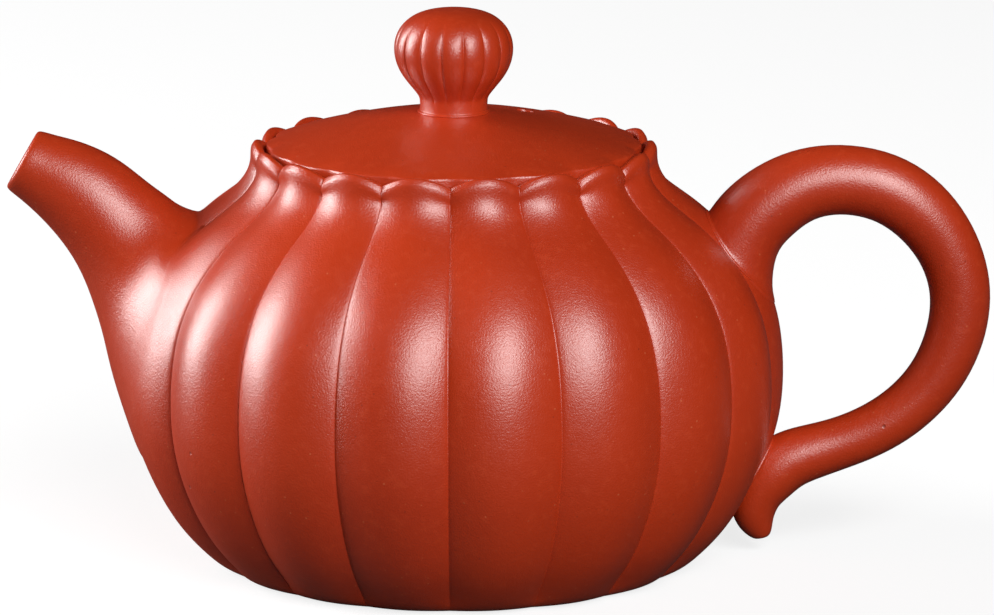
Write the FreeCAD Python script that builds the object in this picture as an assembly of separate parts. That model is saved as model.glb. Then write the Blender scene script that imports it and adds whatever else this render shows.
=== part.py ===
"""Ribbed red-clay teapot: lobed pot with spout, handle and strainer, and a loose lid with a ball knob."""
import FreeCAD
import Part
import math
import os

# Ribs: the pot, its mouth and the lid's edge share one count of lobes, and the knob has fewer.
# The grooves are deepest round the belly and shallower in step with the radius elsewhere.
lobe_count = 18
lobe_depth = 1.2

# Pot profile, as radii at the crest of a lobe. Each rise is measured from the level below it,
# and a fullness is a share of that rise.
base_radius = 31.3
belly_radius = 43.6
belly_height = 24.5
belly_fullness = 0.53
shoulder_radius = 32.1
shoulder_rise = 22.5
shoulder_run = 1.25
shoulder_fullness = 0.27
neck_radius = 27.1
neck_rise = 6.0
neck_fullness = 0.37
lip_rise = 2.7
lip_radius = 1.0

# Walls and luted joints.
wall = 3.0
base_thickness = 3.2
foot_width = 8.0
foot_recess = 0.8
luting_gap = 0.1

# Mouth and lid seat.
petal_arch = 1.4
petal_wall = 2.2
seat_thickness = 2.2
seat_width = 3.4
seat_ledge = 1.4

# Lid.
lid_set_down = 1.1
lid_edge_thickness = 2.3
lid_dome_height = 4.9
lid_wall = 3.0
lid_clearance = 0.3
flange_wall = 2.3
flange_depth = 6.5
flange_clearance = 0.4
vent_diameter = 2.2
vent_distance = 10.5
vent_angle = 28.0

# Knob on the lid.
knob_diameter = 15.6
knob_flatness = 0.77
knob_rib_count = 16
knob_rib_depth = 0.4
knob_neck_diameter = 8.9
knob_neck_height = 3.15
knob_foot_round = 0.4
knob_seat_depth = 0.4
knob_top_angle = 80.0

# Spout, drawn as parallel ovals along a curved centreline. Rises and drops are from the shoulder.
spout_reach = 13.6
spout_tip_rise = 5.9
spout_tip_radius = 4.5
spout_pitch = 26.0
spout_root_angle = 48.0
spout_tip_angle = 15.0
spout_root_inset = 8.0
spout_root_drop = 16.6
spout_taper = 6.4
spout_flare = 4.8
spout_bore_radius = 3.1
spout_lip_round = 0.9

# Strainer behind the spout, as far below the shoulder as its drop.
strainer_drop = 9.4
strainer_radius = 6.6
strainer_wall = 1.8
strainer_hole = 1.5
strainer_row_angles = (0.0, 32.0, 62.0)
strainer_row_counts = (1, 6, 12)

# Handle. Offsets are measured outwards from the belly, and rises and drops from the shoulder,
# except for the drop of the low point, which is from the widest level of the belly.
handle_root_offset = -6.0
handle_root_drop = 4.8
handle_bend_offset = -2.5
handle_bend_drop = 0.5
handle_top_offset = 7.9
handle_top_rise = 3.4
handle_side_offset = 23.0
handle_side_drop = 12.6
handle_low_offset = 4.7
handle_low_drop = 10.9
handle_low_fullness = 0.66
handle_root_thickness = 11.6
handle_top_thickness = 9.4
handle_side_thickness = 8.1
handle_low_thickness = 7.2
handle_bury = 5.0
handle_dive = 0.6
tail_tip_offset = -2.4
tail_tip_height = 1.8
tail_tip_thickness = 1.4
tail_sag = 2.2

# Steps used when a curve is cut into sections.
belly_steps = 5
neck_steps = 4
lip_steps = 3
knob_steps = 8
spout_steps = 7
handle_steps = 18
tail_steps = 6

half_lobe = math.pi / lobe_count
up = FreeCAD.Vector(0, 0, 1)

# Levels of the pot, and the groove depths at its foot and mouth.
shoulder_height = belly_height + shoulder_rise
neck_height = shoulder_height + neck_rise
rim_height = neck_height + lip_rise
foot_lobe_depth = lobe_depth * base_radius / belly_radius
mouth_lobe_depth = lobe_depth * neck_radius / belly_radius


def polar(radius, angle, height):
    return FreeCAD.Vector(radius * math.cos(angle), radius * math.sin(angle), height)


def bezier_points(poles, steps):
    """Points along a Bezier curve whose poles are (radius, height) pairs."""
    curve = Part.BezierCurve()
    curve.setPoles([FreeCAD.Vector(radius, 0, height) for radius, height in poles])
    values = [curve.value(step / steps) for step in range(steps + 1)]
    return [(point.x, point.z) for point in values]


def belly_profile():
    """Crest line from the foot over the belly to the shoulder."""
    drop = belly_radius - base_radius
    arc_radius = (drop ** 2 + belly_height ** 2) / (2 * drop)
    sweep = math.asin(belly_height / arc_radius)
    points = []
    for step in range(belly_steps):
        angle = sweep * (1 - step / belly_steps)
        points.append((belly_radius - arc_radius * (1 - math.cos(angle)),
                       belly_height - arc_radius * math.sin(angle)))
    rise = shoulder_height - belly_height
    lean = rise * shoulder_fullness
    poles = [(belly_radius, belly_height),
             (belly_radius, belly_height + rise * belly_fullness),
             (shoulder_radius + lean * shoulder_run, shoulder_height - lean),
             (shoulder_radius, shoulder_height)]
    return points + bezier_points(poles, belly_steps)


def neck_profile():
    """Crest line from the shoulder up the neck and over the rounded lip."""
    lean = (neck_height - shoulder_height) * neck_fullness
    poles = [(shoulder_radius, shoulder_height),
             (shoulder_radius - lean * shoulder_run, shoulder_height + lean),
             (neck_radius, neck_height - lean),
             (neck_radius, neck_height)]
    points = bezier_points(poles, neck_steps)
    for step in range(lip_steps + 1):
        angle = math.pi / 2 * step / lip_steps
        points.append((neck_radius - lip_radius * (1 - math.cos(angle)),
                       rim_height - lip_radius * (1 - math.sin(angle))))
    return points


def lobed_wire(crest, depth, height, count=lobe_count):
    """Closed ring of arcs, one per lobe, that meet in sharp grooves."""
    half_turn = math.pi / count
    edges = []
    for lobe in range(count):
        middle = 2 * half_turn * lobe
        start = polar(crest - depth, middle - half_turn, height)
        end = polar(crest - depth, middle + half_turn, height)
        edges.append(Part.Arc(start, polar(crest, middle, height), end).toShape())
    return Part.Wire(edges)


def lobed_solid(profile, growth=0.0):
    """Solid through lobed rings along a profile, grown outwards by the same amount all over."""
    wires = []
    for radius, height in profile:
        depth = lobe_depth * radius / belly_radius
        wires.append(lobed_wire(radius + growth, depth, height))
    return Part.makeLoft(wires, True)


def lobed_prism(crest, bottom, top):
    """Upright lobed form for the mouth and what fits into it."""
    wire = lobed_wire(crest, mouth_lobe_depth, bottom)
    return Part.Face(wire).extrude(up * (top - bottom))


def slab(bottom, top):
    """Block wider than the pot, for cutting it at a height."""
    width = 4 * belly_radius
    return Part.makeBox(width, width, top - bottom, FreeCAD.Vector(-width / 2, -width / 2, bottom))


def ring(outer, inner, bottom, top):
    tube = Part.makeCylinder(outer, top - bottom, up * bottom)
    return tube.cut(Part.makeCylinder(inner, top - bottom, up * bottom))


def revolved(edges):
    """Solid of revolution about Z from edges in the XZ plane."""
    return Part.Face(Part.Wire(edges)).revolve(FreeCAD.Vector(), up, 360)


def flat(radius, height):
    """Point in the XZ plane, which halves the spout and the handle."""
    return FreeCAD.Vector(radius, 0, height)


def pot_form(growth=0.0):
    """The whole pot as one filled form, used to shape what is luted onto it."""
    return lobed_solid(belly_profile(), growth).fuse(lobed_solid(neck_profile(), growth))


def crest_radius(height):
    """Crest radius of the belly at a height."""
    profile = belly_profile()
    for (low_radius, low), (high_radius, high) in zip(profile, profile[1:]):
        if low <= height <= high:
            return low_radius + (high_radius - low_radius) * (height - low) / (high - low)


def pitched(angle):
    """Direction out of the spout's side of the pot, pitched up by an angle in degrees."""
    return FreeCAD.Vector(-math.cos(math.radians(angle)), 0, math.sin(math.radians(angle)))


# Places that several pieces share.
pocket_radius = neck_radius - petal_wall
lid_radius = pocket_radius - lid_clearance
seat_top = rim_height - lid_set_down - lid_edge_thickness
seat_bottom = seat_top - seat_thickness
seat_radius = pocket_radius - mouth_lobe_depth - luting_gap
seat_bore = seat_radius - seat_width
flange_radius = seat_bore - flange_clearance
lid_edge_top = seat_top + lid_edge_thickness
lid_apex = lid_edge_top + lid_dome_height
knob_seat = lid_apex - knob_seat_depth
spout_out = pitched(spout_pitch)
spout_up = FreeCAD.Vector(math.sin(math.radians(spout_pitch)), 0, math.cos(math.radians(spout_pitch)))
strainer_height = shoulder_height - strainer_drop
strainer_seat = flat(-crest_radius(strainer_height), strainer_height)
handle_low_height = belly_height - handle_low_drop


def make_base_disc():
    """Lobed clay disc, hollowed underneath so that the pot stands on a flat ring."""
    disc = lobed_solid(belly_profile()).common(slab(0, base_thickness))
    return disc.cut(Part.makeCylinder(base_radius - foot_lobe_depth - foot_width, foot_recess))


def make_belly_wall():
    """Ribbed wall of even thickness, with a round hole behind the spout."""
    body = lobed_solid(belly_profile()).cut(lobed_solid(belly_profile(), -wall))
    body = body.common(slab(base_thickness, shoulder_height))
    outside = strainer_seat + spout_out * 2 * wall
    hole = Part.makeCylinder(strainer_radius + luting_gap, 4 * wall, outside, -spout_out)
    return body.cut(hole)


def petal_cutter():
    """What is cleared above two half petals, on either side of one groove."""
    half_width = neck_radius * math.sin(half_lobe)
    notch = rim_height - petal_arch
    arc_radius = (half_width ** 2 + petal_arch ** 2) / (2 * petal_arch)
    half_sweep = math.asin(half_width / arc_radius) / 2
    shoulder = half_width - arc_radius * math.sin(half_sweep)
    bend = rim_height - arc_radius * (1 - math.cos(half_sweep))
    left = FreeCAD.Vector(0, -half_width, rim_height)
    right = FreeCAD.Vector(0, half_width, rim_height)
    bottom = FreeCAD.Vector(0, 0, notch)
    arch_left = Part.Arc(left, FreeCAD.Vector(0, -shoulder, bend), bottom).toShape()
    arch_right = Part.Arc(bottom, FreeCAD.Vector(0, shoulder, bend), right).toShape()
    lift = up * lip_radius
    lid_side = Part.makePolygon([right, right + lift, left + lift, left])
    outline = Part.Face(Part.Wire([arch_left, arch_right] + lid_side.Edges))
    return outline.extrude(FreeCAD.Vector(belly_radius, 0, 0))


def make_neck_collar():
    """Top slab and neck in one ring, with a ledge inside and an arched petal on every lobe."""
    collar = lobed_solid(neck_profile())
    collar = collar.cut(lobed_prism(pocket_radius, seat_bottom, rim_height + lip_radius))
    mouth = Part.makeCylinder(seat_radius - seat_ledge, rim_height, FreeCAD.Vector())
    collar = collar.cut(mouth)
    cutters = []
    for groove in range(lobe_count):
        cutter = petal_cutter()
        cutter.rotate(FreeCAD.Vector(), up, math.degrees(half_lobe * (2 * groove + 1)))
        cutters.append(cutter)
    return collar.cut(cutters)


def make_seat_ring():
    """Flat ring on the collar's ledge that carries the lid."""
    return ring(seat_radius, seat_bore, seat_bottom, seat_top)


def spout_centres():
    """Centreline from inside the pot to the tip, first rising steeply and then levelling."""
    root = flat(spout_root_inset - belly_radius, shoulder_height - spout_root_drop)
    tip = flat(-belly_radius - spout_reach, shoulder_height + spout_tip_rise)
    third = (tip - root).Length / 3
    rising = root + pitched(spout_root_angle) * third
    levelling = tip - pitched(spout_tip_angle) * third
    curve = Part.BezierCurve()
    curve.setPoles([root, rising, levelling, tip])
    return [curve.value(step / spout_steps) for step in range(spout_steps + 1)]


def oval_wire(centre, half_height, half_width):
    """Oval square to the spout's pitch."""
    edge = Part.Ellipse()
    edge.MajorRadius = half_height
    edge.MinorRadius = half_width
    wire = Part.Wire(edge.toShape())
    turn = FreeCAD.Rotation(spout_up, FreeCAD.Vector(0, 1, 0), spout_out)
    wire.Placement = FreeCAD.Placement(centre, turn)
    return wire


def make_spout(form):
    """Tapered spout, flared at the root and cut to the curve of the lobes, with a tapered bore."""
    shells = []
    bores = []
    centres = spout_centres()
    for step, centre in enumerate(centres):
        left = 1 - step / spout_steps
        width = spout_tip_radius + spout_taper * left
        shells.append(oval_wire(centre, width + spout_flare * left ** 3, width))
        bore = spout_bore_radius + (strainer_radius - spout_bore_radius) * left
        bores.append(oval_wire(centre, bore, bore))
    tip = centres[-1]
    bores.append(oval_wire(tip + spout_out * wall, spout_bore_radius, spout_bore_radius))
    outside = Part.makeLoft(shells, True)
    tip_edges = []
    for edge in outside.Edges:
        if abs((edge.CenterOfMass - tip).dot(spout_out)) < luting_gap:
            tip_edges.append(edge)
    outside = outside.makeFillet(spout_lip_round, tip_edges)
    return outside.cut(form).cut(Part.makeLoft(bores, True))


def make_strainer():
    """Thin perforated dome on a short sleeve that fills the hole in the wall, flush with the outside."""
    sleeve = 2 * wall
    core = strainer_radius - strainer_wall
    slant = math.sqrt(0.5)
    outer_arc = Part.Arc(flat(strainer_radius, sleeve),
                         flat(strainer_radius * slant, sleeve + strainer_radius * slant),
                         flat(0, sleeve + strainer_radius))
    inner_arc = Part.Arc(flat(0, sleeve + core),
                         flat(core * slant, sleeve + core * slant),
                         flat(core, sleeve))
    dome = revolved([Part.makeLine(flat(core, 0), flat(strainer_radius, 0)),
                     Part.makeLine(flat(strainer_radius, 0), flat(strainer_radius, sleeve)),
                     outer_arc.toShape(),
                     Part.makeLine(flat(0, sleeve + strainer_radius), flat(0, sleeve + core)),
                     inner_arc.toShape(),
                     Part.makeLine(flat(core, sleeve), flat(core, 0))])
    holes = []
    drill = strainer_hole / 2
    for angle, count in zip(strainer_row_angles, strainer_row_counts):
        tilt = math.radians(angle)
        for hole in range(count):
            direction = polar(math.sin(tilt), 2 * math.pi * hole / count, math.cos(tilt))
            start = up * sleeve + direction * (core - drill)
            holes.append(Part.makeCylinder(drill, strainer_wall + strainer_hole, start, direction))
    dome = dome.cut(holes)
    dome.Placement = FreeCAD.Placement(strainer_seat, FreeCAD.Rotation(up, -spout_out))
    return dome.common(lobed_solid(belly_profile()))


def handle_stations():
    """Points of the handle's centreline in the XZ plane, each with the thickness there."""
    root = flat(belly_radius + handle_root_offset, shoulder_height - handle_root_drop)
    bend = flat(belly_radius + handle_bend_offset, shoulder_height - handle_bend_drop)
    top = flat(belly_radius + handle_top_offset, shoulder_height + handle_top_rise)
    side = flat(belly_radius + handle_side_offset, shoulder_height - handle_side_drop)
    low = flat(belly_radius + handle_low_offset, handle_low_height)
    start = root - (bend - root).normalize() * handle_bury
    fullness = math.sqrt(0.5)
    upper = flat(top.x + (side.x - top.x) * fullness, side.z + (top.z - side.z) * fullness)
    lower = flat(low.x + (side.x - low.x) * handle_low_fullness,
                 side.z + (low.z - side.z) * handle_low_fullness)
    end = flat(crest_radius(handle_low_height) - handle_bury,
               handle_low_height - handle_bury * handle_dive)
    bend_thickness = (handle_root_thickness + handle_top_thickness) / 2
    return [(start, handle_root_thickness), (root, handle_root_thickness), (bend, bend_thickness),
            (top, handle_top_thickness), (upper, handle_top_thickness), (side, handle_side_thickness),
            (lower, handle_low_thickness), (low, handle_low_thickness), (end, handle_root_thickness)]


def circle_wire(centre, direction, radius):
    """Circle about a direction in the XZ plane, always started on the same side."""
    side = FreeCAD.Vector(0, 1, 0)
    wire = Part.Wire(Part.makeCircle(radius))
    wire.Placement = FreeCAD.Placement(centre, FreeCAD.Rotation(side, direction.cross(side), direction))
    return wire


def make_handle(form):
    """Solid loop with a hanging tail, both cut to the curve of the lobes."""
    stations = handle_stations()
    curve = Part.BSplineCurve()
    curve.interpolate([point for point, thickness in stations])
    marks = [(curve.parameter(point), thickness) for point, thickness in stations]
    first = marks[0][0]
    last = marks[-1][0]
    wires = []
    for step in range(handle_steps + 1):
        place = first + (last - first) * step / handle_steps
        for (low_mark, low_thickness), (high_mark, high_thickness) in zip(marks, marks[1:]):
            if low_mark <= place <= high_mark:
                share = (place - low_mark) / (high_mark - low_mark)
                thickness = low_thickness + (high_thickness - low_thickness) * share
        wires.append(circle_wire(curve.value(place), curve.tangent(place)[0], thickness / 2))
    loop = Part.makeLoft(wires, True)
    return loop.fuse(make_tail()).cut(form)


def make_tail():
    """Hanging end of the handle, drawn to a blunt point."""
    start = flat(crest_radius(handle_low_height), handle_low_height - handle_low_thickness / 4)
    tip = flat(belly_radius + tail_tip_offset, tail_tip_height)
    bend = flat(tip.x - tail_sag, (start.z + tip.z) / 2)
    curve = Part.BezierCurve()
    curve.setPoles([start, bend, tip])
    wires = []
    for step in range(tail_steps + 1):
        share = step / tail_steps
        thickness = tail_tip_thickness + (handle_low_thickness - tail_tip_thickness) * math.sqrt(1 - share)
        wires.append(circle_wire(curve.value(share), up, thickness / 2))
    return Part.makeLoft(wires, True)


def make_lid_plate():
    """Shallow dome with a lobed edge, flat underneath at its border, with a vent hole."""
    inner = flange_radius - flange_wall
    apex = flat(0, lid_apex)
    under = flat(0, lid_apex - lid_wall)
    rim_top = flat(lid_radius, lid_edge_top)
    rim_bottom = flat(lid_radius, seat_top)
    border = flat(inner, seat_top)
    top_arc = Part.Arc(flat(-lid_radius, lid_edge_top), apex, rim_top)
    under_arc = Part.Arc(flat(-inner, seat_top), under, border)
    middle_top = top_arc.value(top_arc.parameter(apex) * 0.5 + top_arc.LastParameter * 0.5)
    middle_under = under_arc.value(under_arc.parameter(under) * 0.5 + under_arc.LastParameter * 0.5)
    plate = revolved([Part.Arc(apex, middle_top, rim_top).toShape(),
                      Part.makeLine(rim_top, rim_bottom),
                      Part.makeLine(rim_bottom, border),
                      Part.Arc(border, middle_under, under).toShape(),
                      Part.makeLine(under, apex)])
    plate = plate.common(lobed_prism(lid_radius, seat_top, lid_apex))
    seat_width = knob_neck_diameter / 2 + knob_foot_round + luting_gap
    plate = plate.cut(Part.makeCylinder(seat_width, lid_wall, up * knob_seat))
    vent = polar(vent_distance, math.radians(vent_angle), seat_top)
    return plate.cut(Part.makeCylinder(vent_diameter / 2, lid_apex, vent))


def make_lid_flange():
    """Plain ring under the lid that drops into the mouth."""
    return ring(flange_radius, flange_radius - flange_wall, seat_top - flange_depth, seat_top)


def make_knob():
    """Ribbed ball, smooth on top, on a neck with a rounded foot."""
    half_width = knob_diameter / 2
    half_height = half_width * knob_flatness
    neck = knob_neck_diameter / 2
    low_angle = -math.acos(neck / half_width)
    high_angle = math.radians(knob_top_angle)
    centre = knob_seat + knob_neck_height - half_height * math.sin(low_angle)
    wires = []
    for step in range(knob_steps + 1):
        angle = low_angle + (high_angle - low_angle) * step / knob_steps
        depth = knob_rib_depth * math.cos(angle) ** 2
        height = centre + half_height * math.sin(angle)
        wires.append(lobed_wire(half_width * math.cos(angle), depth, height, knob_rib_count))
    ball = Part.makeLoft(wires, True)
    foot = neck + knob_foot_round
    bend = knob_foot_round * (1 - math.sqrt(0.5))
    corner = flat(neck, knob_seat + knob_foot_round)
    stem = revolved([Part.makeLine(flat(0, knob_seat), flat(foot, knob_seat)),
                     Part.Arc(flat(foot, knob_seat), flat(neck + bend, knob_seat + bend), corner).toShape(),
                     Part.makeLine(corner, flat(neck, centre)),
                     Part.makeLine(flat(neck, centre), flat(0, centre)),
                     Part.makeLine(flat(0, centre), flat(0, knob_seat))])
    return ball.fuse(stem)


form = pot_form(luting_gap)
pieces = {
    "base_disc": make_base_disc(),
    "belly_wall": make_belly_wall(),
    "neck_collar": make_neck_collar(),
    "seat_ring": make_seat_ring(),
    "spout": make_spout(form),
    "strainer": make_strainer(),
    "handle": make_handle(form),
    "lid_plate": make_lid_plate(),
    "lid_flange": make_lid_flange(),
    "knob": make_knob(),
}
os.makedirs("parts", exist_ok=True)
for name, shape in pieces.items():
    print(name, shape.isValid(), len(shape.Solids), round(shape.Volume, 1))
    shape.exportStep("parts/" + name + ".step")
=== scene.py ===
import math
import bpy
import bmesh
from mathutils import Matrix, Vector


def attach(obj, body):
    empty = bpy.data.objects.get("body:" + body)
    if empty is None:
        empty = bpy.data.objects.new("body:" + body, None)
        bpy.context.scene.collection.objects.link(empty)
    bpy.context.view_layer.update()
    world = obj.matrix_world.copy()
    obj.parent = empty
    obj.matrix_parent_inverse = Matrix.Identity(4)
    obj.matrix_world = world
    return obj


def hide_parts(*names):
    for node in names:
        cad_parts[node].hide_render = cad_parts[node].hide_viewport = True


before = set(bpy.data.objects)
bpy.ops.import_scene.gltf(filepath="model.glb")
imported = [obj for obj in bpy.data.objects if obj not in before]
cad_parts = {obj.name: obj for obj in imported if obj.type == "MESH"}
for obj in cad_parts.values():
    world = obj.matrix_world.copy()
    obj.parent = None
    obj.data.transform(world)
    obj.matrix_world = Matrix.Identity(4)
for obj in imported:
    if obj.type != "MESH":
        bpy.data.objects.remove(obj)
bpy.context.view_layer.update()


# Pot: a foot disc, a wall and a neck of red clay, luted together, smoothed over and burnished before firing.
# Eighteen lobes meet in scored grooves, and each lobe ends at the mouth in a rounded petal.
# The wall stands on a flat foot ring and holds a ledge inside the neck for the lid's seat.

mm = 0.001
lobes = 18
columns = 6 * lobes
column_step = 360 / columns
groove_angle = math.pi / lobes


def begin(name):
    """Opens the new primitive in edit mode, under its own name and with its place in its mesh."""
    piece = bpy.context.object
    piece.name = name
    bpy.ops.object.transform_apply(location=True, rotation=True, scale=True)
    bpy.ops.object.mode_set(mode="EDIT")
    return piece


def pick(piece, wanted):
    """Selects the points of a piece in edit mode for which wanted(place) is true."""
    bpy.ops.mesh.select_mode(type="VERT")
    mesh = bmesh.from_edit_mesh(piece.data)
    for point in mesh.verts:
        point.select_set(bool(wanted(point.co)))
    mesh.select_flush_mode()
    bmesh.update_edit_mesh(piece.data)


def pick_open_edges(piece):
    """Selects the open edges of a piece in edit mode."""
    pick(piece, lambda p: False)
    bpy.ops.mesh.select_mode(type="EDGE")
    bpy.ops.mesh.select_non_manifold()


def pull_out(x, z):
    """Extrudes the selected ring by a distance in mm."""
    bpy.ops.mesh.extrude_region_move(TRANSFORM_OT_translate={"value": (x * mm, 0, z * mm)})


def lathe(stations, start):
    """Extrudes the selected ring from one (radius, height) in mm through the next ones."""
    for radius, height in stations:
        old_radius, old_height = start
        pull_out(0, height - old_height)
        share = radius / old_radius
        bpy.ops.transform.resize(value=(share, share, 1), center_override=(0, 0, 0))
        start = (radius, height)


def turn_up(name, points, stations):
    """Starts a piece as a ring of points at its first (radius, height) and lathes it through the others."""
    radius, height = stations[0]
    bpy.ops.object.select_all(action="DESELECT")
    bpy.ops.mesh.primitive_circle_add(vertices=points, radius=radius * mm, location=(0, 0, height * mm))
    piece = begin(name)
    lathe(stations[1:], stations[0])
    return piece


def close_ring(rise=0.0):
    """Closes the selected ring with a fan to its middle, which lies rise mm higher."""
    pull_out(0, rise)
    bpy.ops.mesh.merge(type="CENTER")


def draw_in(inset):
    """Moves the selected points towards the axis by a share of their distance from it."""
    bpy.ops.transform.resize(value=(1 - inset, 1 - inset, 1), center_override=(0, 0, 0))


def from_groove(place, half_lobe=groove_angle):
    """Signed turn from a point to the nearest groove, in degrees, when lobes are twice half_lobe wide."""
    turn = math.atan2(place.y, place.x) / (2 * half_lobe) - 0.5
    return (turn - round(turn)) * math.degrees(2 * half_lobe)


def near(turn, target):
    """True where two turns in degrees belong to the same column of a cage."""
    return abs(turn - target) < 0.4


def between(place, low, high):
    """True where a point lies between two heights in mm."""
    return low * mm < place.z < high * mm


def turn_columns(piece, moves, half_lobe=groove_angle):
    """Turns the columns on both sides of each groove from an old to a new turn, in degrees."""
    for old, new in moves:
        for side in (1, -1):
            pick(piece, lambda p: near(from_groove(p, half_lobe), side * old))
            bpy.ops.transform.rotate(value=side * math.radians(old - new), orient_axis="Z",
                                     center_override=(0, 0, 0))


def apply_all(piece):
    """Applies every modifier of a piece in its order."""
    bpy.ops.object.select_all(action="DESELECT")
    bpy.context.view_layer.objects.active = piece
    piece.select_set(True)
    for modifier in list(piece.modifiers):
        bpy.ops.object.modifier_apply(modifier=modifier.name)


def face_outwards():
    """Turns all faces of the piece in edit mode outwards and leaves edit mode."""
    bpy.ops.mesh.select_all(action="SELECT")
    bpy.ops.mesh.normals_make_consistent(inside=False)
    bpy.ops.object.mode_set(mode="OBJECT")


def round_off(piece):
    """Ends the work on a cage: rounds it with a subdivision surface and shades it smooth."""
    levels = 2
    face_outwards()
    rounding = piece.modifiers.new("rounding", "SUBSURF")
    rounding.levels = levels
    rounding.render_levels = levels
    apply_all(piece)
    bpy.ops.object.shade_smooth()


# Profiles are lists of (radius, height) in mm.
foot = ((8.0, 0.8), (21.4, 0.8), (22.4, 0.6), (22.9, 0.1), (23.8, 0.0), (26.6, 0.0), (29.6, 0.0), (31.2, 0.2))
wall = ((32.7, 1.0), (34.5, 2.6), (36.8, 5.0), (39.0, 8.0), (41.1, 12.0), (42.6, 16.0),
        (43.5, 20.0), (43.8, 24.5), (43.5, 29.4), (42.7, 33.5), (41.35, 36.9), (39.6, 39.9),
        (37.3, 42.6), (34.5, 45.2), (32.2, 46.9), (30.1, 48.4), (28.4, 49.9), (27.3, 51.4),
        (26.8, 53.0), (26.78, 54.3))
lip = ((26.7, 54.92), (26.62, 55.1), (26.32, 55.55), (26.16, 55.68), (25.6, 55.68), (25.05, 55.2))
pot = turn_up("pot", columns, foot + wall + lip)

# The even columns of the cage are moved towards the grooves, so that these can be crisp.
groove_side = 0.5
lobe_flank = 5.2
turn_columns(pot, ((column_step, groove_side), (2 * column_step, lobe_flank)))

# Each line along a lobe has its turn from the groove in degrees, the shares by which the petals and the wall
# are drawn in there, and the drop of the petals' edge in mm.
lobe_lines = ((0.0, 0.0352, 0.0490, 1.6), (groove_side, 0.0290, 0.0400, 1.3),
              (lobe_flank, 0.0065, 0.0104, 0.36))
throat = 53.0
petals_from = throat + 0.6

# Each stretch of the wall goes from one height in mm to another and takes a share of the inset.
# Beside the spout the grooves are smoothed away along its joint.
foot_fade = ((-1.0, 0.5, 0.3), (0.5, 2.0, 0.6))
open_wall = foot_fade + ((2.0, 53.5, 1.0),)
spout_wall = foot_fade + ((2.0, 10.0, 1.0), (10.0, 14.0, 0.8), (14.0, 18.0, 0.35), (38.5, 41.0, 0.2),
                          (41.0, 44.0, 0.6), (44.0, 53.5, 1.0))


def by_spout(place):
    """True at the two grooves beside the spout."""
    spout_reach = 12.5
    return place.x < 0 and abs(place.y) < spout_reach * mm


def from_spout(place):
    """Turn from the middle of the spout to a point, in degrees to either side."""
    return math.degrees(math.atan2(abs(place.y), -place.x))


for turn, petal_inset, wall_inset, drop in lobe_lines:
    pick(pot, lambda p: near(abs(from_groove(p)), turn) and between(p, throat - 0.2, throat + 0.2))
    bpy.ops.transform.translate(value=(0, 0, -drop * mm / 2))
    for beside, stretches in ((False, open_wall), (True, spout_wall)):
        for low, high, share in stretches:
            pick(pot, lambda p: near(abs(from_groove(p)), turn) and by_spout(p) == beside
                 and between(p, low, high))
            draw_in(wall_inset * share)
    pick(pot, lambda p: near(abs(from_groove(p)), turn) and p.z > petals_from * mm)
    draw_in(petal_inset)
    bpy.ops.transform.translate(value=(0, 0, -drop * mm))

# The lobes on both sides of the spout slant up to its joint.
slant = ((27.0, 31.0, 0.5), (31.0, 41.5, 1.0), (41.5, 44.0, 0.5))
for turn, inset in ((20.0, 0.014), (24.8, 0.018)):
    for low, high, share in slant:
        pick(pot, lambda p: near(from_spout(p), turn) and between(p, low, high))
        draw_in(inset * share)

# All grooves are crisp above the foot, but for the smoothed stretch beside the spout.
foot_top = 0.9
pick(pot, lambda p: near(from_groove(p), 0.0) and p.z > foot_top * mm
     and not (by_spout(p) and between(p, 14.0, 41.0)))
bpy.ops.transform.edge_crease(value=0.9)

# The foot's hollow is closed, and the inside runs from the petals down the lid's pocket, over the ledge
# and round the chamber to the middle of its floor.
pick(pot, lambda p: p.xy.length < (foot[0][0] + 0.5) * mm)
close_ring()
pick_open_edges(pot)
pocket_top = 52.4
pull_out(0, -1.2)
bpy.ops.transform.resize(value=(1, 1, 0), center_override=(0, 0, pocket_top * mm))
pocket = ((24.95, 50.5), (24.5, 50.1), (22.9, 50.1), (22.6, 49.7), (22.6, 47.4), (23.2, 46.9))
chamber = ((28.0, 46.4), (32.4, 43.6), (36.6, 39.4), (39.6, 33.0), (40.5, 25.0), (39.4, 16.0),
           (36.0, 8.0), (32.5, 4.3), (29.5, 3.2), (8.0, 3.2))
lathe(pocket + chamber, (lip[-1][0], pocket_top))
bpy.ops.mesh.merge(type="CENTER")
round_off(pot)


class Signal:
    """A socket in a finish's nodes, so that sums on it read as plain maths."""

    def __init__(self, tree, socket):
        self.tree = tree
        self.socket = socket

    def make(self, kind, settings, inputs, output=0):
        """A new node: its settings first, then the values or links of its sockets."""
        node = self.tree.nodes.new(kind)
        for name, value in settings.items():
            setattr(node, name, value)
        for name, value in inputs.items():
            if isinstance(value, Signal):
                self.tree.links.new(value.socket, node.inputs[name])
            else:
                node.inputs[name].default_value = value
        return Signal(self.tree, node.outputs[output])

    def sum(self, operation, first, second):
        """One step of maths on two values or signals."""
        return self.make("ShaderNodeMath", {"operation": operation}, {0: first, 1: second})

    def __add__(self, other):
        return self.sum("ADD", self, other)

    def __radd__(self, other):
        return self.sum("ADD", other, self)

    def __sub__(self, other):
        return self.sum("SUBTRACT", self, other)

    def __mul__(self, other):
        return self.sum("MULTIPLY", self, other)

    def __rmul__(self, other):
        return self.sum("MULTIPLY", other, self)

    def fade(self, low, high):
        """0 below low and 1 above high, or the other way round where low is the larger."""
        return self.make("ShaderNodeMapRange", {"interpolation_type": "SMOOTHSTEP"},
                         {"Value": self, "From Min": low, "From Max": high})

    def blend(self, first, second):
        """A colour that turns from the first into the second as this signal goes from 0 to 1."""
        return self.make("ShaderNodeMix", {"data_type": "RGBA"}, {0: self, 6: first, 7: second}, 2)


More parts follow.
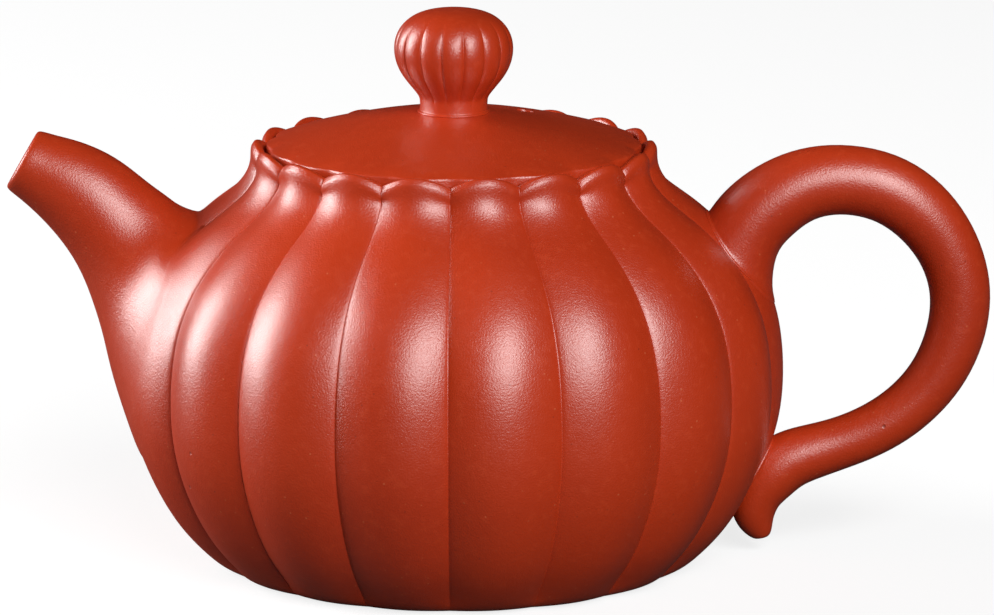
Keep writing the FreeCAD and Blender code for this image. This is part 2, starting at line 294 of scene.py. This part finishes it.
red_clay = bpy.data.materials.new("red_clay")
red_clay.use_nodes = True
tree = red_clay.node_tree
skin = tree.nodes["Principled BSDF"]
spot = Signal(tree, tree.nodes.new("ShaderNodeTexCoord").outputs["Object"])


def cloud(scale, detail):
    """Soft noise with about scale patches to the metre."""
    return spot.make("ShaderNodeTexNoise", {},
                     {"Vector": spot, "Scale": scale, "Detail": detail, "Roughness": 0.55})


def grains(scale, share, size):
    """Round grains in a share of the cells of a fine foam: 1 inside a grain and 0 outside."""
    foam = {"Vector": spot, "Scale": scale}
    reach = spot.make("ShaderNodeTexVoronoi", {}, foam, "Distance")
    chance = spot.make("ShaderNodeTexVoronoi", {}, foam, "Color")
    chance = spot.make("ShaderNodeSeparateColor", {}, {"Color": chance}, "Red")
    return reach.fade(size, size * 0.4) * chance.fade(share, share * 0.9)


broad = cloud(38, 3)
fine = cloud(900, 4)
grit = cloud(4200, 2)
sand = grains(1500, 0.05, 0.26)
iron = grains(1300, 0.03, 0.22)
pits = grains(300, 0.03, 0.10)
deep_clay = (0.43, 0.030, 0.005, 1)
warm_clay = (0.49, 0.037, 0.006, 1)
light_clay = (0.56, 0.055, 0.012, 1)
sand_tone = (0.66, 0.17, 0.07, 1)
iron_tone = (0.16, 0.018, 0.008, 1)
pit_shade_tone = (0.20, 0.020, 0.008, 1)
clay_tone = broad.fade(0.3, 0.7).blend(deep_clay, warm_clay)
clay_tone = (fine.fade(0.5, 0.75) * 0.35).blend(clay_tone, light_clay)
clay_tone = (sand * 0.45).blend(clay_tone, sand_tone)
clay_tone = (iron * 0.5).blend(clay_tone, iron_tone)
# The pits are also painted darker, as painted shade in their hollows, on top of their real dents in the
# relief.
clay_tone = (pits * 0.7).blend(clay_tone, pit_shade_tone)
tree.links.new(clay_tone.socket, skin.inputs["Base Color"])
polish = 0.24 + 0.10 * fine + 0.10 * grit + 0.2 * pits
tree.links.new(polish.socket, skin.inputs["Roughness"])
relief = 0.7 * grit + 0.3 * fine + 0.15 * sand - 1.2 * pits
grain_height = 0.06
bump = spot.make("ShaderNodeBump", {},
                 {"Height": relief, "Strength": 1.0, "Distance": grain_height * mm}, "Normal")
tree.links.new(bump.socket, skin.inputs["Normal"])
skin.inputs["Specular IOR Level"].default_value = 0.9
pot.data.materials.append(red_clay)
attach(pot, "pot")
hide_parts("base_disc", "belly_wall", "neck_collar")


# Seat ring, strainer and lid flange: small plain clay pieces, luted in or under the lid.
# They are seen only with the lid off, so their solids are shown as they are and just take the clay.

for name in ("seat_ring", "strainer", "lid_flange"):
    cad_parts[name].material_slots[0].material = red_clay


# Spout: a tapered clay tube, rolled, bent and luted onto one lobe, with the joint smoothed away by hand.
# It is hollow from the wall to its thin rounded lip.

def draw_tube(name, points, stations):
    """Draws a tube of rings from one (x, z, half height, half width, lean) in mm and degrees to the next."""
    start = stations[0]
    bpy.ops.object.select_all(action="DESELECT")
    bpy.ops.mesh.primitive_circle_add(vertices=points, radius=start[2] * mm,
                                      location=(start[0] * mm, 0, start[1] * mm),
                                      rotation=(0, math.radians(start[4]), 0))
    piece = begin(name)
    for station in stations[1:]:
        x, z, tall, wide, lean = station
        pull_out(x - start[0], z - start[1])
        centre = (x * mm, 0, z * mm)
        if lean != start[4]:
            bpy.ops.transform.rotate(value=-math.radians(lean - start[4]), orient_axis="Y",
                                     center_override=centre)
        bpy.ops.transform.resize(value=(tall / start[2], wide / start[3], tall / start[2]),
                                 center_override=centre)
        start = station
    return piece


def keep(piece, group, weight):
    """Adds the selected points to a group of the piece."""
    bpy.ops.object.mode_set(mode="OBJECT")
    if group not in piece.vertex_groups:
        piece.vertex_groups.new(name=group)
    points = [point.index for point in piece.data.vertices if point.select]
    piece.vertex_groups[group].add(points, weight, "REPLACE")
    bpy.ops.object.mode_set(mode="EDIT")


def press_on_pot(piece, away, group=""):
    """Presses a group of points, or all of them, along X onto the pot's wall from the side of away."""
    press = piece.modifiers.new("press", "SHRINKWRAP")
    press.target = pot
    press.vertex_group = group
    press.wrap_method = "PROJECT"
    press.use_project_x = True
    press.use_negative_direction = away > 0
    press.use_positive_direction = away < 0
    apply_all(piece)


def spread_on(piece, end, rings, away):
    """Ends a tube in rings of (z, half height, half width, lift), pressed onto the wall and then lifted."""
    _, z, tall, wide, lean = end
    pull_out(0, 0)
    bpy.ops.transform.resize(value=(0, 1, 1), center_override=(away * mm, 0, 0))
    tall = tall * abs(math.sin(math.radians(lean)))
    for number, (next_z, next_tall, next_wide, _) in enumerate(rings):
        if number:
            pull_out(0, 0)
        bpy.ops.transform.translate(value=(0, 0, (next_z - z) * mm))
        bpy.ops.transform.resize(value=(1, next_wide / wide, next_tall / tall),
                                 center_override=(away * mm, 0, next_z * mm))
        z, tall, wide = next_z, next_tall, next_wide
        keep(piece, "seat", 1.0)
        keep(piece, f"ring_{number}", 1.0)
        keep(piece, "seam", number / (len(rings) - 1))
    bpy.ops.object.mode_set(mode="OBJECT")
    press_on_pot(piece, away, "seat")
    bpy.ops.object.mode_set(mode="EDIT")
    for number, (_, _, _, lift) in enumerate(rings):
        bpy.ops.mesh.select_all(action="DESELECT")
        piece.vertex_groups.active = piece.vertex_groups[f"ring_{number}"]
        bpy.ops.object.vertex_group_select()
        bpy.ops.transform.translate(value=(math.copysign(1, away) * lift * mm, 0, 0))


def melt_into_pot(piece):
    """Lets the rim of a luted piece take the shading of the wall that it runs into."""
    shade = piece.modifiers.new("shade", "DATA_TRANSFER")
    shade.object = pot
    shade.use_loop_data = True
    shade.data_types_loops = {"CUSTOM_NORMAL"}
    shade.loop_mapping = "POLYINTERP_NEAREST"
    shade.vertex_group = "seam"
    apply_all(piece)


bore = ((-39.4, 37.0, 6.2, 6.2, -64), (-43.5, 41.2, 5.6, 5.6, -64), (-46.6, 45.0, 4.9, 4.9, -64),
        (-50.6, 49.2, 4.0, 4.0, -62), (-54.4, 51.8, 3.3, 3.3, -60), (-56.2, 52.7, 3.1, 3.1, -60))
spout_lip = ((-56.5, 52.9, 3.2, 3.2, -60), (-56.75, 53.05, 3.7, 3.7, -60),
             (-56.65, 53.0, 4.25, 4.25, -60), (-56.1, 52.7, 4.5, 4.5, -60))
body = ((-54.4, 51.8, 4.85, 4.75, -61), (-51.7, 50.35, 5.65, 5.35, -62), (-48.3, 47.8, 6.65, 6.05, -63),
        (-45.7, 44.8, 7.6, 6.65, -64), (-43.75, 41.65, 8.75, 7.3, -64), (-42.0, 38.7, 10.2, 8.6, -65),
        (-40.85, 35.5, 12.05, 11.3, -68))
spout = draw_tube("spout", 36, bore + spout_lip + body)
spout_root = ((31.2, 14.4, 15.1, 0.25), (30.15, 15.85, 16.8, 0.05), (29.45, 16.85, 18.3, -0.1))
spread_on(spout, body[-1], spout_root, -62.0)

# The root's rim is sunk into the wall and joined to the near end of the bore.
sunk = 0.9
pull_out(sunk, 0)
pick_open_edges(spout)
bpy.ops.mesh.bridge_edge_loops()
round_off(spout)
melt_into_pot(spout)
spout.data.materials.append(red_clay)
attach(spout, "pot")
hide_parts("spout")


# Handle: a rolled loop of clay, thickest where it springs from the shoulder and thinnest below.
# Its lower end lies against the belly and hangs down in a blunt tail.
# Both joints are sealed with a thin roll of clay, which shows as a fine bright line.

# The line runs from the tail's tip to the shoulder, as (x, z, thickness) in mm.
handle_line = ((41.0, 1.95, 1.9), (40.9, 2.45, 3.0), (40.15, 3.85, 4.8), (39.75, 5.7, 6.3),
               (39.95, 8.0, 7.3), (42.0, 11.0, 8.4), (44.6, 12.85, 7.9), (47.6, 13.75, 7.35),
               (51.0, 14.8, 6.95), (54.6, 16.2, 7.0), (58.1, 18.2, 7.1), (61.3, 20.9, 7.2),
               (64.0, 24.3, 7.45), (65.85, 28.4, 7.8), (66.75, 32.5, 8.0), (66.7, 36.5, 8.2),
               (65.5, 40.5, 8.4), (63.4, 44.1, 8.8), (60.4, 47.3, 9.2), (56.5, 49.65, 9.35),
               (51.8, 50.6, 9.3), (47.5, 50.35, 9.5), (44.0, 49.05, 9.85), (40.9, 46.85, 10.4),
               (38.5, 44.4, 10.5))

# The last stations widen across the shoulder to these half widths.
root_widths = (4.9, 5.25, 5.55, 5.7)
round_stations = len(handle_line) - len(root_widths)
stations = []
for number, (x, z, thick) in enumerate(handle_line):
    before = handle_line[max(number - 1, 0)]
    after = handle_line[min(number + 1, len(handle_line) - 1)]
    lean = math.degrees(math.atan2(after[0] - before[0], after[1] - before[1]))
    if stations:
        while lean > stations[-1][4] + 180:
            lean -= 360
        while lean < stations[-1][4] - 180:
            lean += 360
    wide = thick / 2
    if number >= round_stations:
        wide = root_widths[number - round_stations]
    stations.append((x, z, thick / 2, wide, lean))
handle = draw_tube("handle", 24, stations)
handle_root = ((40.8, 5.2, 5.8, 0.18), (40.0, 6.2, 6.05, 0.18), (39.85, 6.4, 6.1, -1.0))
behind_handle = 75.0
spread_on(handle, stations[-1], handle_root, behind_handle)


def cap_ring():
    """Closes the selected ring with a fan of triangles."""
    bpy.ops.mesh.edge_face_add()
    bpy.ops.mesh.poke()


pull_out(-sunk, 0)
cap_ring()
pick_open_edges(handle)
cap_ring()
round_off(handle)


def roll_round(z, tall, wide, thick):
    """A thin roll of clay in an oval on the wall behind the handle; its height and half sizes are in mm."""
    bpy.ops.object.select_all(action="DESELECT")
    bpy.ops.mesh.primitive_circle_add(vertices=72, radius=mm, location=(behind_handle * mm, 0, z * mm),
                                      rotation=(0, math.pi / 2, 0))
    roll = begin("roll")
    bpy.ops.mesh.select_all(action="SELECT")
    bpy.ops.transform.resize(value=(1, wide, tall), center_override=(0, 0, z * mm))
    bpy.ops.object.mode_set(mode="OBJECT")
    press_on_pot(roll, behind_handle)
    bpy.ops.object.convert(target="CURVE")
    roll = bpy.context.object
    roll.data.bevel_depth = thick * mm
    roll.data.bevel_resolution = 3
    bpy.ops.object.convert(target="MESH")
    return bpy.context.object


rolls = [roll_round(40.75, 5.3, 6.2, 0.24), roll_round(10.0, 5.7, 4.15, 0.2)]
bpy.ops.object.select_all(action="DESELECT")
for roll in rolls:
    roll.select_set(True)
handle.select_set(True)
bpy.context.view_layer.objects.active = handle
bpy.ops.object.join()
bpy.ops.object.mode_set(mode="EDIT")
face_outwards()
bpy.ops.object.shade_smooth()
handle.data.materials.append(red_clay)
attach(handle, "pot")
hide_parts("handle")


# Lid: a loose shallow dome of the same clay, with a lobed edge that follows the petals and a small vent hole.
# It lies on the seat inside the mouth.

dome = ((4.5, 59.48), (5.0, 59.44), (7.0, 59.24), (10.0, 58.8), (14.5, 57.95), (19.0, 56.88), (22.4, 55.94),
        (23.9, 55.48), (24.45, 55.27))
edge = ((24.62, 55.12), (24.65, 54.7), (24.62, 53.2), (24.3, 52.5), (23.6, 52.3))
under = ((18.2, 52.3), (17.9, 52.5), (13.0, 54.5), (7.0, 56.1))
lid = turn_up("lid", columns, dome + edge + under)
close_ring(0.3)
pick(lid, lambda p: p.z > (dome[0][1] - 0.02) * mm)
close_ring()
lobed_from = 23.5
for turn, inset in ((0.0, 0.027), (column_step, 0.012), (2 * column_step, 0.003)):
    pick(lid, lambda p: near(abs(from_groove(p)), turn) and p.xy.length > lobed_from * mm)
    draw_in(inset)
round_off(lid)

# The vent is drilled straight down and then countersunk a little, with (radius, flare, middle, depth) in mm.
vent_x = 9.27
vent_y = 4.93
drills = []
for radius, flare, middle, depth in ((1.1, 1.1, 56.3, 8.0), (1.1, 1.35, 58.75, 0.9)):
    bpy.ops.object.select_all(action="DESELECT")
    bpy.ops.mesh.primitive_cone_add(vertices=32, radius1=radius * mm, radius2=flare * mm, depth=depth * mm,
                                    location=(vent_x * mm, vent_y * mm, middle * mm))
    drill = bpy.context.object
    hole = lid.modifiers.new("vent", "BOOLEAN")
    hole.object = drill
    hole.operation = "DIFFERENCE"
    hole.solver = "EXACT"
    drills.append(drill)
apply_all(lid)
for drill in drills:
    bpy.data.objects.remove(drill)
bpy.ops.object.shade_smooth_by_angle(angle=math.radians(40))
lid.data.materials.append(red_clay)
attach(lid, "lid")
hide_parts("lid_plate")


# Knob: a solid clay ball on a short neck, with sixteen ribs that echo the pot and fade towards the top.
# It is luted onto the middle of the lid, with a fine bead round its foot.

ribs = 16
rib_columns = 6 * ribs
rib_step = 360 / rib_columns
rib_angle = math.pi / ribs
neck = ((4.4, 59.0), (4.62, 59.38), (4.74, 59.48), (4.76, 59.62), (4.66, 59.71), (4.46, 59.72),
        (4.43, 59.84), (4.42, 60.6), (4.47, 61.3), (4.7, 61.75), (5.35, 62.55))
ball = ((6.15, 63.5), (6.95, 64.6), (7.6, 66.0), (7.88, 67.6), (7.74, 69.1), (7.15, 70.5), (6.0, 71.75),
        (4.3, 72.6), (2.3, 73.0))
knob = turn_up("knob", rib_columns, neck + ball)
close_ring(0.05)
pick(knob, lambda p: p.z < (neck[0][1] + 0.05) * mm)
close_ring()

# The ribs are cut like the lobes: lines of (turn, inset), in stretches of (low, high, share).
rib_side = 1.2
rib_flank = 5.4
turn_columns(knob, ((rib_step, rib_side), (2 * rib_step, rib_flank)), rib_angle)
rib_lines = ((0.0, 0.048), (rib_side, 0.028), (rib_flank, 0.007))
rib_stretches = ((61.2, 61.6, 0.3), (61.6, 63.0, 0.8), (63.0, 69.5, 1.0), (69.5, 71.0, 0.7),
                 (71.0, 72.0, 0.2))
for low, high, share in rib_stretches:
    for turn, inset in rib_lines:
        pick(knob, lambda p: near(abs(from_groove(p, rib_angle)), turn) and between(p, low, high))
        draw_in(inset * share)
pick(knob, lambda p: near(from_groove(p, rib_angle), 0.0) and between(p, 61.6, 71.0))
bpy.ops.transform.edge_crease(value=0.6)
round_off(knob)
knob.data.materials.append(red_clay)
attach(knob, "lid")
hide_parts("knob")


# Camera: at the photograph's height, a little to the handle's side, with a long lens.

camera_data = bpy.data.cameras.new("camera")
camera_data.lens = 194.6
camera_data.sensor_width = 36.0
camera = bpy.data.objects.new("camera", camera_data)
bpy.context.scene.collection.objects.link(camera)
camera.location = (0.0133, -0.6920, 0.1875)
aim = Vector((0.00566, 0.0, 0.03317))
camera.rotation_euler = (aim - camera.location).to_track_quat("-Z", "Y").to_euler()
bpy.context.scene.camera = camera
bpy.context.scene.view_settings.view_transform = "Standard"


# Floor: a plain sheet that runs out of the picture on every side and keeps the pot's shadow.
# The camera sees it as pale paper, and to the clay it is a dark matt sheet that throws little light back.

bpy.ops.object.select_all(action="DESELECT")
bpy.ops.mesh.primitive_plane_add(size=6.0)
floor = bpy.context.object
floor.name = "floor"
pale = bpy.data.materials.new("pale_floor")
pale.use_nodes = True
tree = pale.node_tree
tree.nodes.clear()
rays = tree.nodes.new("ShaderNodeLightPath")
seen = Signal(tree, rays.outputs["Is Camera Ray"])
glossy = Signal(tree, rays.outputs["Is Glossy Ray"])
through = Signal(tree, rays.outputs["Is Transmission Ray"])
mirrored = seen.sum("MAXIMUM", glossy, through)
matt = seen.make("ShaderNodeBsdfDiffuse", {}, {"Color": (0.03, 0.03, 0.03, 1)})
mirrored_matt = seen.make("ShaderNodeBsdfDiffuse", {}, {"Color": (0.06, 0.06, 0.06, 1)})
paper = seen.make("ShaderNodeBsdfDiffuse", {}, {"Color": (0.25, 0.25, 0.25, 1)})
glow = seen.make("ShaderNodeEmission", {}, {"Color": (1, 1, 1, 1), "Strength": 0.80})
paper = seen.make("ShaderNodeAddShader", {}, {0: paper, 1: glow})
unseen = seen.make("ShaderNodeMixShader", {}, {0: mirrored, 1: matt, 2: mirrored_matt})
mixed = seen.make("ShaderNodeMixShader", {}, {0: seen, 1: unseen, 2: paper})
sheet = tree.nodes.new("ShaderNodeOutputMaterial")
tree.links.new(mixed.socket, sheet.inputs["Surface"])
floor.data.materials.append(pale)


# Light: a broad soft box with a brighter heart at the spout's side, and two on the right of the camera.
# Nothing hangs overhead, and the surround is all but dark.

pot_middle = Vector((0, 0, 0.03))
for name, place, width, height, power in (
        ("left_box", (-0.84, 0.16, 0.33), 0.52, 0.66, 9.4),
        ("left_heart", (-0.83, 0.27, 0.28), 0.25, 0.45, 2.4),
        ("front_box", (0.315, -0.92, 0.53), 0.60, 0.70, 10.0),
        ("high_box", (0.50, -0.68, 0.735), 0.35, 0.50, 3.5)):
    box = bpy.data.lights.new(name, "AREA")
    box.shape = "RECTANGLE"
    box.size = width
    box.size_y = height
    box.energy = power
    lamp = bpy.data.objects.new(name, box)
    bpy.context.scene.collection.objects.link(lamp)
    lamp.location = place
    lamp.rotation_euler = (pot_middle - lamp.location).to_track_quat("-Z", "Y").to_euler()

world = bpy.data.worlds.new("studio")
bpy.context.scene.world = world
world.use_nodes = True
tree = world.node_tree
tree.nodes["Background"].inputs["Color"].default_value = (1, 1, 1, 1)
tree.nodes["Background"].inputs["Strength"].default_value = 0.008
